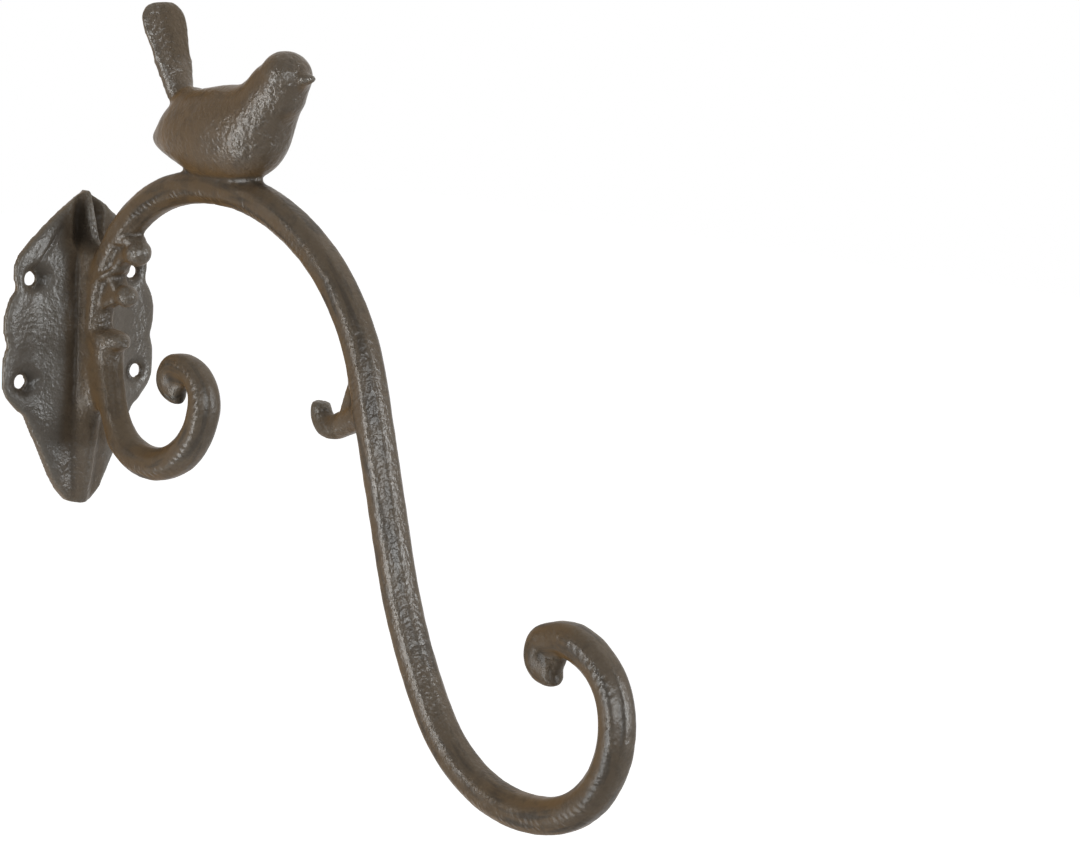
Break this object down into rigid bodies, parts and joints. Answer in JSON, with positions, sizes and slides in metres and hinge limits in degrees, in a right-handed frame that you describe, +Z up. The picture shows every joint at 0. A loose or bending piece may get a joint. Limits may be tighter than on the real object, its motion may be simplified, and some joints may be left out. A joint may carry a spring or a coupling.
{
  "type": "wall hook",
  "caption": "Cast wall hook with a leaf-shaped screw plate, an arched S-shaped arm ending in a scrolled hook, a small scrolled hook under it and a bird on the arch.",
  "frame": {"origin": "on the flat back of the plate, in the middle of its screw holes", "axes": "+Y into the wall, square to the plate's back; the arm reaches out along -Y; +Z up; the casting is the same on both sides of X = 0"},
  "size_m": [0.0692, 0.2783, 0.2542],
  "materials": {
    "cast_iron": "rough brown-grey patina with worn grey highs and rust-brown hollows"
  },
  "bodies": {
    "root": {"hook_casting": "cast_iron"}
  },
  "joints": []
}
